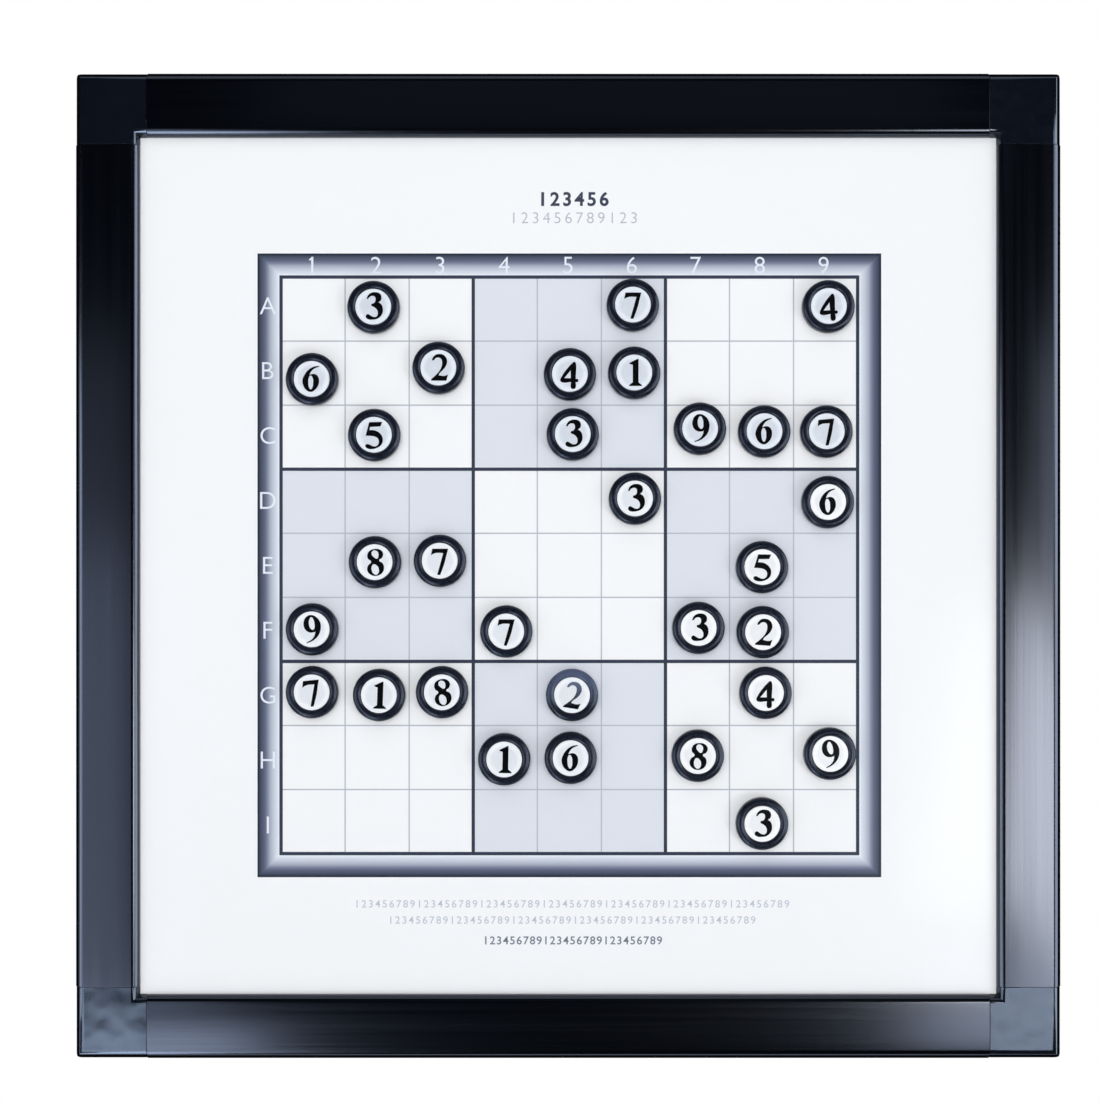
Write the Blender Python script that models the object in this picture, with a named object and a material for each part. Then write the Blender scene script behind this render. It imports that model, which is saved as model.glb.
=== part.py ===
# A framed magnetic board with a printed nine by nine puzzle grid and loose round number pieces.
#
# The board stands upright with its face towards -Y, and its back lies in the wall plane y = 0.
# The origin is in the middle of the top rail's upper back flange, where a wall hook carries it.
# In every section a distance "in" is measured from the board's outer edge towards its middle,
# and a depth is measured from the wall plane towards the viewer.

import math

import bmesh
import bpy
from mathutils import Matrix, Vector

MM = 0.001

# The whole board
BOARD_WIDTH = 700 * MM
BOARD_HEIGHT = 700 * MM
FRAME_DEPTH = 20 * MM
FIT = 0.3 * MM  # gap left between two pieces that touch
MERGE_BELOW = 0.001 * MM  # points of one turned profile this close are one point
SMOOTH_BELOW = 35  # degrees between two faces that are shaded as one

# The aluminium rails: one extruded section for all four sides
RAIL_WIDTH = 45.5 * MM  # outer edge to the tip of the inner lip
RAIL_WALL = 1.6 * MM
EDGE_RADIUS = 4 * MM  # round along the front outer edge
BACK_RADIUS = 0.8 * MM
CHAMBER_WIDTH = 28 * MM  # hollow that takes the corner tenons
HOOK_SLOT = 10 * MM  # slot along the chamber's back, for wall hooks
LIP_RUN = 4.6 * MM  # the lip's slope, seen from the front
LIP_ROUND = 4 * MM  # round along the front inner edge
LIP_TIP = 1.2 * MM  # thickness of the lip's tip
LIP_FOOT = 2.6 * MM  # width of the lip's foot on the sheet
PANEL_FLANGE = 12.5 * MM  # flange behind the panel
ARC_STEPS = 3

# The panel: lacquered steel sheet, core board and galvanised back sheet
FACE_SHEET = 0.6 * MM
CORE_BOARD = 8.6 * MM
BACK_SHEET = 0.5 * MM
PANEL_PLAY = 1 * MM  # room round the panel's edge, in the rails

# The moulded corner caps
CAP_SIZE = 51 * MM  # outer corner to the seam with a rail
CAP_SETBACK = 0.4 * MM  # how far a cap's faces stay behind the rails' faces
CAP_CORNER = 5 * MM  # round of the board's corner, seen from the front
CAP_LIP_RUN = 3 * MM
CAP_WALL = 2.2 * MM
CAP_RIB = 2 * MM
SEAM = 0.4 * MM  # gap between a cap and the end of a rail
TENON_LENGTH = 34 * MM
TENON_WALL = 2.5 * MM

# The countersunk screws that lock the tenons in the rails
SCREW_HEAD = 5.6 * MM
SCREW_SHANK = 3 * MM
SCREW_LENGTH = 9.5 * MM
SCREW_HEAD_HEIGHT = 1.2 * MM
SCREW_TIP = 1.5 * MM
SCREW_SUNK = 0.1 * MM  # head below the wall plane
SCREW_FROM_SEAM = 17 * MM
SCREW_SIDES = 8

# The printed grid, which sets where the pieces lie
CELL = 45.6 * MM
GRID_SHIFT = 1.2 * MM  # the print sits this far right of the board's middle
ROWS = "abcdefghi"

# The round pieces: ring cup, number disc and magnet as one body
PIECE_DIAMETER = 37.2 * MM
PIECE_HEIGHT = 9 * MM
RIM_CROWN = 3 * MM  # width of the flat on top of the rim
RIM_SHOULDER = 2.6 * MM  # height of the rim's outer slope
RIM_SLOPE = 1.5 * MM  # width of the rim's outer slope
DISC_DIAMETER = 25.4 * MM
DISC_RECESS = 1.2 * MM  # disc's face below the rim's crown
MAGNET_DIAMETER = 18.4 * MM
MAGNET_PROUD = 0.4 * MM  # magnet's face beyond the cup's underside
PIECE_SIDES = 20

# Each piece on the board: its cell, its number, and how many mm it lies right of and above
# the cell's middle, because pieces are set down by hand
PIECES = {
    "a2": (3, -2.5, 1.0),
    "a6": (7, -1.0, 2.5),
    "a9": (4, 1.0, 1.5),
    "b1": (6, -0.5, -4.5),
    "b3": (2, -2.0, 3.5),
    "b5": (4, 0.0, -1.0),
    "b6": (1, 0.0, 0.0),
    "c2": (5, -2.0, 1.5),
    "c5": (3, 2.0, 2.0),
    "c7": (9, 1.0, 6.0),
    "c8": (6, 1.0, 4.0),
    "c9": (7, -0.5, 4.0),
    "d6": (3, 0.5, 2.0),
    "d9": (6, 0.5, -0.5),
    "e2": (8, -1.5, 2.5),
    "e3": (7, -1.0, 3.5),
    "e8": (5, -0.5, -1.0),
    "f1": (9, -0.5, 0.5),
    "f4": (7, 0.5, -1.0),
    "f7": (3, 0.0, 1.5),
    "f8": (2, 0.0, -1.5),
    "g1": (7, -0.5, 1.5),
    "g2": (1, 1.5, -0.5),
    "g3": (8, 0.5, 1.5),
    "g5": (2, 1.5, -0.5),
    "g8": (4, 2.0, 1.0),
    "h4": (1, -1.0, -0.5),
    "h5": (6, 0.5, 0.5),
    "h7": (8, -0.5, 2.0),
    "h9": (9, 2.0, 3.5),
    "i8": (3, -0.5, -0.5),
}

# Places that follow from the sizes above
CHAMBER_END = RAIL_WALL + CHAMBER_WIDTH
SLOT_BOTTOM = CHAMBER_END + RAIL_WALL
HOOK_FLANGE = RAIL_WALL + (CHAMBER_WIDTH - HOOK_SLOT) / 2
BACK_SHEET_DEPTH = RAIL_WALL + FIT
CORE_DEPTH = BACK_SHEET_DEPTH + BACK_SHEET + FIT
FACE_SHEET_DEPTH = CORE_DEPTH + CORE_BOARD + FIT
SHEET_FRONT = FACE_SHEET_DEPTH + FACE_SHEET
LIP_BACK = SHEET_FRONT + FIT
LIP_EDGE = LIP_BACK + LIP_TIP
CAP_FRONT = FRAME_DEPTH - CAP_SETBACK
TOP_EDGE_Z = HOOK_FLANGE / 2
BOARD_CENTRE_Z = TOP_EDGE_Z - BOARD_HEIGHT / 2


def clear_scene():
    for item in list(bpy.data.objects):
        bpy.data.objects.remove(item, do_unlink=True)


def surface(name, colour, roughness, metallic):
    """A plain material with the part's own colour."""
    material = bpy.data.materials.new(name)
    material.use_nodes = True
    shader = material.node_tree.nodes["Principled BSDF"]
    shader.inputs["Base Color"].default_value = (*colour, 1)
    shader.inputs["Roughness"].default_value = roughness
    shader.inputs["Metallic"].default_value = metallic
    material.diffuse_color = (*colour, 1)
    return material


def rounded_outline(corners):
    """The points of a closed outline, from (x, y, radius of the round) at each corner."""
    points = []
    for index, (x, y, radius) in enumerate(corners):
        corner = Vector((x, y))
        if radius <= 0:
            points.append(corner)
            continue
        back = (Vector(corners[index - 1][:2]) - corner).normalized()
        ahead = (Vector(corners[(index + 1) % len(corners)][:2]) - corner).normalized()
        half_angle = back.angle(ahead) / 2
        centre = corner + (back + ahead).normalized() * radius / math.sin(half_angle)
        reach = radius / math.tan(half_angle)
        first = corner + back * reach - centre
        last = corner + ahead * reach - centre
        start = math.atan2(first.y, first.x)
        turn = (math.atan2(last.y, last.x) - start + math.pi) % (2 * math.pi) - math.pi
        for step in range(ARC_STEPS + 1):
            angle = start + turn * step / ARC_STEPS
            points.append(centre + Vector((math.cos(angle), math.sin(angle))) * radius)
    return points


def loft(bm, rings):
    """A closed solid through rings of points that all have the same count."""
    loops = [[bm.verts.new(point) for point in ring] for ring in rings]
    for lower, upper in zip(loops, loops[1:]):
        for index in range(len(lower)):
            following = (index + 1) % len(lower)
            bm.faces.new((lower[index], lower[following], upper[following], upper[index]))
    bm.faces.new(loops[0])
    bm.faces.new(loops[-1])


def add_prism(bm, outline, start, end, upright=False):
    """A bar along X, or along Z when upright, from (in, depth) points of its section."""
    for_x = [[(x, -depth, -inward) for inward, depth in outline] for x in (start, end)]
    for_z = [[(-inward, -depth, z) for inward, depth in outline] for z in (start, end)]
    loft(bm, for_z if upright else for_x)


def add_box(bm, low, high):
    """A box between two corners, each given as (x, y, z)."""
    low = Vector(low)
    high = Vector(high)
    size = Matrix.Diagonal((*(high - low), 1))
    bmesh.ops.create_cube(bm, size=1, matrix=Matrix.Translation((low + high) / 2) @ size)


def finished_mesh(bm, name):
    """The bmesh as a mesh with its faces turned outwards and its round faces shaded smooth."""
    bmesh.ops.recalc_face_normals(bm, faces=bm.faces)
    mesh = bpy.data.meshes.new(name)
    bm.to_mesh(mesh)
    bm.free()
    mesh.shade_smooth()
    mesh.set_sharp_from_angle(angle=math.radians(SMOOTH_BELOW))
    return mesh


def turned_mesh(profile, sides, name):
    """A solid turned about the Y axis, from (radius, depth) points that start and end on it."""
    bm = bmesh.new()
    verts = [bm.verts.new((radius, -depth, 0)) for radius, depth in profile]
    edges = [bm.edges.new(pair) for pair in zip(verts, verts[1:])]
    bmesh.ops.spin(
        bm,
        geom=verts + edges,
        cent=(0, 0, 0),
        axis=(0, 1, 0),
        angle=2 * math.pi,
        steps=sides,
        use_merge=True,
    )
    bmesh.ops.remove_doubles(bm, verts=bm.verts, dist=MERGE_BELOW)
    return finished_mesh(bm, name)


def carved_mesh(body, tools, name):
    """A mesh with others joined to it or cut out of it, from (mesh, "UNION" or "DIFFERENCE", place)."""
    target = bpy.data.objects.new(name, body)
    bpy.context.collection.objects.link(target)
    helpers = []
    for mesh, operation, place in tools:
        helper = bpy.data.objects.new(mesh.name, mesh)
        helper.location = place
        bpy.context.collection.objects.link(helper)
        boolean = target.modifiers.new(operation.lower(), "BOOLEAN")
        boolean.object = helper
        boolean.operation = operation
        boolean.solver = "EXACT"
        helpers.append(helper)
    bpy.context.view_layer.update()
    graph = bpy.context.evaluated_depsgraph_get()
    mesh = bpy.data.meshes.new_from_object(target.evaluated_get(graph))
    mesh.name = name
    for item in (target, *helpers):
        bpy.data.objects.remove(item, do_unlink=True)
    return mesh


def add_part(name, mesh, material, parent, place=(0, 0, 0), turn=0):
    """An object on the board, placed from the board's centre and turned about Y."""
    part = bpy.data.objects.new(name, mesh)
    bpy.context.collection.objects.link(part)
    mesh.materials.clear()
    mesh.materials.append(material)
    part.parent = parent
    part.location = place
    part.rotation_euler = (0, math.radians(turn), 0)
    return part


def screw_mesh(grow, name):
    """A countersunk screw driven in from the wall plane, or with grow the hole that it needs."""
    head = SCREW_HEAD / 2 + grow
    shank = SCREW_SHANK / 2 + grow
    neck = SCREW_SUNK + SCREW_HEAD_HEIGHT
    end = SCREW_LENGTH + grow
    profile = [(0, SCREW_SUNK - grow), (head, SCREW_SUNK - grow)]
    if grow:
        profile.append((head, SCREW_SUNK))
    profile += [(shank, neck), (shank, end - SCREW_TIP), (0, end)]
    return turned_mesh(profile, SCREW_SIDES, name)


def rail_section():
    """The rail's section: a chamber for the tenons, a slot for the panel and a sloping lip."""
    front = FRAME_DEPTH
    inner_radius = EDGE_RADIUS - RAIL_WALL
    lip_top = RAIL_WIDTH - LIP_RUN
    return rounded_outline([
        (HOOK_FLANGE, 0, 0),
        (BACK_RADIUS, 0, 0),
        (0, BACK_RADIUS, 0),
        (0, front, EDGE_RADIUS),
        (lip_top, front, LIP_ROUND),
        (RAIL_WIDTH, LIP_EDGE, 0),
        (RAIL_WIDTH, LIP_BACK, 0),
        (RAIL_WIDTH - LIP_FOOT, LIP_BACK, 0),
        (lip_top - RAIL_WALL, front - RAIL_WALL, 0),
        (SLOT_BOTTOM, front - RAIL_WALL, 0),
        (SLOT_BOTTOM, RAIL_WALL, 0),
        (SLOT_BOTTOM + PANEL_FLANGE, RAIL_WALL, 0),
        (SLOT_BOTTOM + PANEL_FLANGE, 0, 0),
        (HOOK_FLANGE + HOOK_SLOT, 0, 0),
        (HOOK_FLANGE + HOOK_SLOT, RAIL_WALL, 0),
        (CHAMBER_END, RAIL_WALL, 0),
        (CHAMBER_END, front - RAIL_WALL, 0),
        (RAIL_WALL, front - RAIL_WALL, inner_radius),
        (RAIL_WALL, RAIL_WALL, 0),
        (HOOK_FLANGE, RAIL_WALL, 0),
    ])


def screw_inward():
    """How far in from the outer edge a corner screw sits: the middle of the inner back flange."""
    return (HOOK_FLANGE + HOOK_SLOT + CHAMBER_END) / 2


def rail_mesh(length, name):
    bm = bmesh.new()
    add_prism(bm, rail_section(), -length / 2, length / 2)
    hole = screw_mesh(FIT, "screw_hole")
    reach = length / 2 + SEAM - SCREW_FROM_SEAM
    places = [(side * reach, 0, -screw_inward()) for side in (-1, 1)]
    return carved_mesh(finished_mesh(bm, name), [(hole, "DIFFERENCE", place) for place in places], name)


def add_rails(board):
    anodised = surface("black_anodised_aluminium", (0.02, 0.02, 0.028), 0.35, 0.6)
    across = rail_mesh(BOARD_WIDTH - 2 * (CAP_SIZE + SEAM), "rail_across")
    upright = rail_mesh(BOARD_HEIGHT - 2 * (CAP_SIZE + SEAM), "rail_upright")
    half_width = BOARD_WIDTH / 2
    half_height = BOARD_HEIGHT / 2
    add_part("top_rail", across, anodised, board, (0, 0, half_height), 0)
    add_part("right_rail", upright, anodised, board, (half_width, 0, 0), 90)
    add_part("bottom_rail", across, anodised, board, (0, 0, -half_height), 180)
    add_part("left_rail", upright, anodised, board, (-half_width, 0, 0), 270)


def cap_ring(depth, edge_round):
    """The cap's L-shaped outline at one depth, edge_round being how far the front edge draws in."""
    inset = CAP_SETBACK + edge_round
    slope = max(0.0, (depth - LIP_EDGE) / (CAP_FRONT - LIP_EDGE))
    lip = RAIL_WIDTH - CAP_LIP_RUN * slope
    outline = rounded_outline([
        (inset, inset, CAP_CORNER - edge_round),
        (CAP_SIZE, inset, 0),
        (CAP_SIZE, lip, 0),
        (lip, lip, 0),
        (lip, CAP_SIZE, 0),
        (inset, CAP_SIZE, 0),
    ])
    return [(-across, -depth, -down) for across, down in outline]


def tenon_section(inset):
    """The chamber's section, drawn in by an inset."""
    low = RAIL_WALL + inset
    front = FRAME_DEPTH - RAIL_WALL - inset
    end = CHAMBER_END - inset
    return rounded_outline([
        (low, low, 0),
        (low, front, EDGE_RADIUS - RAIL_WALL),
        (end, front, 0),
        (end, low, 0),
    ])


def cap_body():
    """The cap's L-shaped block, with its outer corner at the origin and its legs along -X and -Z."""
    rings = [cap_ring(0, 0), cap_ring(LIP_EDGE, 0)]
    for step in range(ARC_STEPS + 1):
        angle = math.pi / 2 * step / ARC_STEPS
        depth = CAP_FRONT - EDGE_RADIUS * (1 - math.sin(angle))
        rings.append(cap_ring(depth, EDGE_RADIUS * (1 - math.cos(angle))))
    bm = bmesh.new()
    loft(bm, rings)
    return finished_mesh(bm, "corner_cap")


def two_bars(outline, start, end, name):
    """The same bar along both legs of the cap."""
    bm = bmesh.new()
    add_prism(bm, outline, start, end)
    add_prism(bm, outline, start, end, upright=True)
    return finished_mesh(bm, name)


def cap_pockets():
    """The hollows in the cap's back, with ribs left between them."""
    first = CAP_SETBACK + CAP_WALL
    last = SLOT_BOTTOM - CAP_WALL
    middle = (first + last) / 2
    spans = [
        (first, middle - CAP_RIB / 2),
        (middle + CAP_RIB / 2, last),
        (last + CAP_RIB, CAP_SIZE - CAP_WALL),
    ]
    bm = bmesh.new()
    for across in range(len(spans)):
        for down in range(len(spans)):
            if across == down == len(spans) - 1:
                continue
            low = (-spans[across][1], CAP_WALL - CAP_FRONT, -spans[down][1])
            high = (-spans[across][0], CAP_WALL, -spans[down][0])
            add_box(bm, low, high)
    return finished_mesh(bm, "cap_pockets")


def panel_slot():
    """The room for the panel's corner."""
    bm = bmesh.new()
    far = -2 * CAP_SIZE
    add_box(bm, (far, -LIP_BACK, far), (-SLOT_BOTTOM, -RAIL_WALL, -SLOT_BOTTOM))
    return finished_mesh(bm, "panel_slot")


def cap_mesh():
    tenon_end = -(CAP_SIZE + TENON_LENGTH)
    tenons = two_bars(tenon_section(FIT), tenon_end, CAP_WALL / 2 - CAP_SIZE, "tenons")
    hollow = tenon_section(FIT + TENON_WALL)
    hollows = two_bars(hollow, tenon_end - CAP_WALL, -CAP_SIZE - CAP_WALL, "tenon_hollows")
    hole = screw_mesh(FIT, "screw_hole")
    along = -(CAP_SIZE + SCREW_FROM_SEAM)
    inward = -screw_inward()
    return carved_mesh(cap_body(), [
        (tenons, "UNION", (0, 0, 0)),
        (hollows, "DIFFERENCE", (0, 0, 0)),
        (panel_slot(), "DIFFERENCE", (0, 0, 0)),
        (cap_pockets(), "DIFFERENCE", (0, 0, 0)),
        (hole, "DIFFERENCE", (along, 0, inward)),
        (hole, "DIFFERENCE", (inward, 0, along)),
    ], "corner_cap")


def add_corner_caps(board):
    moulded = surface("black_moulded_plastic", (0.022, 0.022, 0.028), 0.45, 0.0)
    cap = cap_mesh()
    x = BOARD_WIDTH / 2
    z = BOARD_HEIGHT / 2
    add_part("corner_top_right", cap, moulded, board, (x, 0, z), 0)
    add_part("corner_bottom_right", cap, moulded, board, (x, 0, -z), 90)
    add_part("corner_bottom_left", cap, moulded, board, (-x, 0, -z), 180)
    add_part("corner_top_left", cap, moulded, board, (-x, 0, z), 270)


def add_corner_screws(board):
    """Two screws at each corner, one through each rail into the cap's tenon."""
    zinc = surface("zinc_plated_steel", (0.6, 0.6, 0.62), 0.35, 1.0)
    screw = screw_mesh(0, "corner_screw")
    along = CAP_SIZE + SCREW_FROM_SEAM
    inward = screw_inward()
    for side, x_sign in (("left", -1), ("right", 1)):
        for end, z_sign in (("top", 1), ("bottom", -1)):
            x = x_sign * (BOARD_WIDTH / 2 - along)
            z = z_sign * (BOARD_HEIGHT / 2 - inward)
            add_part(f"screw_{end}_rail_{side}", screw, zinc, board, (x, 0, z))
            x = x_sign * (BOARD_WIDTH / 2 - inward)
            z = z_sign * (BOARD_HEIGHT / 2 - along)
            add_part(f"screw_{side}_rail_{end}", screw, zinc, board, (x, 0, z))


def add_layer(board, name, depth, thickness, material):
    """One layer of the panel, its edges in the rails' slots."""
    half_width = BOARD_WIDTH / 2 - SLOT_BOTTOM - PANEL_PLAY
    half_height = BOARD_HEIGHT / 2 - SLOT_BOTTOM - PANEL_PLAY
    bm = bmesh.new()
    add_box(bm, (-half_width, -depth - thickness, -half_height), (half_width, -depth, half_height))
    add_part(name, finished_mesh(bm, name), material, board)


def add_panel(board):
    lacquer = surface("white_lacquered_steel", (0.86, 0.88, 0.92), 0.15, 0.0)
    fibre = surface("fibre_core_board", (0.42, 0.33, 0.22), 0.9, 0.0)
    galvanised = surface("galvanised_steel", (0.55, 0.57, 0.6), 0.4, 1.0)
    add_layer(board, "face_sheet", FACE_SHEET_DEPTH, FACE_SHEET, lacquer)
    add_layer(board, "core_board", CORE_DEPTH, CORE_BOARD, fibre)
    add_layer(board, "back_sheet", BACK_SHEET_DEPTH, BACK_SHEET, galvanised)


def piece_mesh():
    """A number piece with its magnet's face at y = 0 and the number disc in the rim's recess."""
    outer = PIECE_DIAMETER / 2
    magnet = MAGNET_DIAMETER / 2
    disc = DISC_DIAMETER / 2
    crown = outer - RIM_SLOPE
    disc_face = PIECE_HEIGHT - DISC_RECESS
    return turned_mesh([
        (0, 0),
        (magnet, 0),
        (magnet, MAGNET_PROUD),
        (outer, MAGNET_PROUD),
        (outer, PIECE_HEIGHT - RIM_SHOULDER),
        (crown, PIECE_HEIGHT),
        (crown - RIM_CROWN, PIECE_HEIGHT),
        (disc, disc_face),
        (0, disc_face),
    ], PIECE_SIDES, "number_piece")


def add_pieces(board):
    plastic = surface("black_gloss_plastic", (0.015, 0.015, 0.02), 0.25, 0.0)
    mesh = piece_mesh()
    middle = len(ROWS) // 2
    for cell, (number, right, up) in PIECES.items():
        row = ROWS.index(cell[0])
        column = int(cell[1]) - 1
        x = GRID_SHIFT + (column - middle) * CELL + right * MM
        z = (middle - row) * CELL + up * MM
        add_part(f"piece_{cell}_number_{number}", mesh, plastic, board, (x, -SHEET_FRONT - FIT, z))


clear_scene()
board_centre = bpy.data.objects.new("board_centre", None)
board_centre.location = (0, 0, BOARD_CENTRE_Z)
bpy.context.collection.objects.link(board_centre)
add_rails(board_centre)
add_corner_caps(board_centre)
add_corner_screws(board_centre)
add_panel(board_centre)
add_pieces(board_centre)
bpy.context.view_layer.update()
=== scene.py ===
import math

import bmesh
import bpy
from mathutils import Matrix, Vector


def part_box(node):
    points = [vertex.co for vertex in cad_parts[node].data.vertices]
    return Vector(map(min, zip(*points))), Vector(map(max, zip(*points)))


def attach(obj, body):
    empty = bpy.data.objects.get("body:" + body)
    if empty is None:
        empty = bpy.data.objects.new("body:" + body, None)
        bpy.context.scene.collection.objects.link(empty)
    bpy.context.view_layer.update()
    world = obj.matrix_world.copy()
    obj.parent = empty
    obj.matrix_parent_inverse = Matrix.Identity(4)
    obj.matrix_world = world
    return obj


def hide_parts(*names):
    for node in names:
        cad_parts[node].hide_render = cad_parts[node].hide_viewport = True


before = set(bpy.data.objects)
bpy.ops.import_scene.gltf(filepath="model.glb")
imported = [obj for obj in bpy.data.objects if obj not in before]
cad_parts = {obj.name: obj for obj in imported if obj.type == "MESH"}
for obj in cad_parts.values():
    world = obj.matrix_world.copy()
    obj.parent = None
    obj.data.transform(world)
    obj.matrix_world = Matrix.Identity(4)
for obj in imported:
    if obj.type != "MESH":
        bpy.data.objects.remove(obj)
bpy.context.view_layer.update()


# The four rails are cut square from one hollow aluminium extrusion, slightly crowned in front and
# with a quarter-round lip on the sheet. They are anodised black, with painted shade along the outer
# edge (dead black, without gloss), and screws from behind lock them on the caps' tenons.
MM = 0.001
TOP_RAIL_LOW, TOP_RAIL_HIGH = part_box("top_rail")
BOTTOM_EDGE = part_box("bottom_rail")[0].z
HALF_BOARD = (TOP_RAIL_HIGH.z - BOTTOM_EDGE) / 2
BOARD_CENTRE = Vector((0, 0, TOP_RAIL_HIGH.z - HALF_BOARD))
RAIL_LENGTH = TOP_RAIL_HIGH.x - TOP_RAIL_LOW.x
RAIL_WIDTH = TOP_RAIL_HIGH.z - TOP_RAIL_LOW.z
FRAME_DEPTH = -TOP_RAIL_LOW.y
RAIL_WALL = 1.6 * MM
LIP_ROUND = 5.4 * MM
LIP_SOLID = 6.2 * MM
LIP_FOOT = 2.6 * MM
LIP_BACK = 12.5 * MM
LIP_EDGE = 13.7 * MM
CHAMBER_END = 29.6 * MM
SLOT_BOTTOM = CHAMBER_END + RAIL_WALL
PANEL_FLANGE = 12.5 * MM
HOOK_FLANGE = 10.6 * MM
HOOK_SLOT = 10 * MM
EDGE_ROUND = 7 * MM
BACK_ROUND = 0.8 * MM
CROWN_RADIUS = 900 * MM
CROWN_REACH = 18 * MM
ROUND_STEPS = 8
SAWN_EDGE = 0.2 * MM
SCREW_FROM_END = 16.6 * MM
SCREW_INWARD = (HOOK_FLANGE + HOOK_SLOT + CHAMBER_END) / 2
HOLE_RADIUS = 1.8 * MM
HOLE_END = 6 * MM
SINK_RADIUS = 3.1 * MM
SINK_FLAT = 0.1 * MM
SINK_END = 1.3 * MM
PAST_BACK = 0.3 * MM
TURNED_SIDES = 32
SIDES = {"top": 0, "right": 90, "bottom": 180, "left": 270}
MERGE_BELOW = 0.001 * MM
SMOOTH_BELOW = math.radians(35)
# How far in from the frame's outer edge the painted shade reaches
SHADE_EDGE_REACH = 3 * MM


def round_corner(bm, vert, reach):
    """Rounds a corner of a flat outline."""
    bmesh.ops.bevel(bm, geom=[vert], offset=reach, offset_type="OFFSET", segments=ROUND_STEPS,
                    profile=0.5, affect="VERTICES", material=-1)


def section_face(bm, corners):
    """A flat section from (in, depth, reach of the round) corners, its corners rounded off."""
    verts = [bm.verts.new((0, -depth, -inward)) for inward, depth, _ in corners]
    bm.faces.new(verts)
    for vert, (_, _, reach) in zip(verts, corners):
        if reach:
            round_corner(bm, vert, reach)


def draw_out(bm, faces, reach):
    """Extrudes faces by a vector and gives the corners that were moved."""
    drawn = bmesh.ops.extrude_face_region(bm, geom=faces)["geom"]
    moved = [item for item in drawn if isinstance(item, bmesh.types.BMVert)]
    bmesh.ops.translate(bm, vec=reach, verts=moved)
    return moved


def turned(bm, profile, sides):
    """A solid turned about the Y axis, from (radius, depth, reach of the round) points."""
    verts = [bm.verts.new((point[0], -point[1], 0)) for point in profile]
    for pair in zip(verts, verts[1:]):
        bm.edges.new(pair)
    for vert, point in zip(verts, profile):
        if len(point) > 2:
            round_corner(bm, vert, point[2])
    bmesh.ops.spin(
        bm, geom=bm.verts[:] + bm.edges[:], cent=(0, 0, 0), axis=(0, 1, 0),
        angle=2 * math.pi, steps=sides, use_merge=True,
    )


def closed_mesh(bm, name, place=Matrix.Identity(4)):
    """The bmesh as a mesh in its place, with doubles merged and its faces turned outwards."""
    bmesh.ops.remove_doubles(bm, verts=bm.verts, dist=MERGE_BELOW)
    bmesh.ops.recalc_face_normals(bm, faces=bm.faces)
    mesh = bpy.data.meshes.new(name)
    bm.to_mesh(mesh)
    bm.free()
    mesh.transform(place)
    return mesh


def carved(mesh, tools):
    """The mesh with others cut out of it or joined to it, from (mesh, "UNION" or "DIFFERENCE")."""
    target = bpy.data.objects.new(mesh.name, mesh)
    bpy.context.collection.objects.link(target)
    helpers = []
    for tool, operation in tools:
        helper = bpy.data.objects.new(tool.name, tool)
        bpy.context.collection.objects.link(helper)
        boolean = target.modifiers.new(operation.lower(), "BOOLEAN")
        boolean.object = helper
        boolean.operation = operation
        boolean.solver = "EXACT"
        helpers.append(helper)
    bpy.context.view_layer.update()
    graph = bpy.context.evaluated_depsgraph_get()
    result = bpy.data.meshes.new_from_object(target.evaluated_get(graph))
    for item in (target, *helpers):
        bpy.data.objects.remove(item, do_unlink=True)
    return result


def paint_edge_shade(mesh):
    """Gives the faces of the frame's outermost edge their second material, the painted shade."""
    for face in mesh.polygons:
        reach = max(abs(face.center.x), abs(face.center.z - BOARD_CENTRE.z))
        face.material_index = int(reach > HALF_BOARD - SHADE_EDGE_REACH)


def add_piece(name, mesh, material, body, stands_for=(), smooth=True, edge_material=None):
    """A finished piece that rides on a body, shaded smooth except at its sharp edges."""
    if smooth:
        mesh.shade_smooth()
        mesh.set_sharp_from_angle(angle=SMOOTH_BELOW)
    mesh.materials.clear()
    mesh.materials.append(material)
    if edge_material:
        mesh.materials.append(edge_material)
        paint_edge_shade(mesh)
    piece = bpy.data.objects.new(name, mesh)
    bpy.context.collection.objects.link(piece)
    if smooth:
        weighted = piece.modifiers.new("weighted_normals", "WEIGHTED_NORMAL")
        weighted.keep_sharp = True
    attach(piece, body)
    if stands_for:
        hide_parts(*stands_for)
    return piece


def linear(hex_colour):
    """An sRGB hex colour as linear red, green, blue and alpha."""
    parts = [int(hex_colour[start:start + 2], 16) / 255 for start in (1, 3, 5)]
    return (*[p / 12.92 if p <= 0.04045 else ((p + 0.055) / 1.055) ** 2.4 for p in parts], 1)


def add_node(tree, kind, inputs=None, **settings):
    """A node with its settings. Each input is a value, or the output that is linked to it."""
    node = tree.nodes.new(kind)
    for name, value in settings.items():
        setattr(node, name, value)
    for name, value in (inputs or {}).items():
        if isinstance(value, bpy.types.NodeSocket):
            tree.links.new(value, node.inputs[name])
        else:
            node.inputs[name].default_value = value
    return node


def new_finish(name, values):
    """A material, its node tree and its Principled shader with values set by socket name."""
    material = bpy.data.materials.new(name)
    material.use_nodes = True
    tree = material.node_tree
    shader = tree.nodes["Principled BSDF"]
    for socket, value in values.items():
        shader.inputs[socket].default_value = value
    return material, tree, shader


def blend_colours(tree, shader, share, first, second):
    """Takes a surface's colour from one hex colour to another by a share from 0 to 1."""
    colour = add_node(tree, "ShaderNodeMix", {
        "Factor": share, "A": linear(first), "B": linear(second),
    }, data_type="RGBA")
    tree.links.new(colour.outputs["Result"], shader.inputs["Base Color"])


def add_relief(tree, shader, pattern, strength, height):
    """Raises a pattern on a surface, over any relief that it has already."""
    inputs = {"Height": pattern, "Strength": strength, "Distance": height}
    if shader.inputs["Normal"].is_linked:
        inputs["Normal"] = shader.inputs["Normal"].links[0].from_socket
    bump = add_node(tree, "ShaderNodeBump", inputs)
    tree.links.new(bump.outputs["Normal"], shader.inputs["Normal"])


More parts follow.
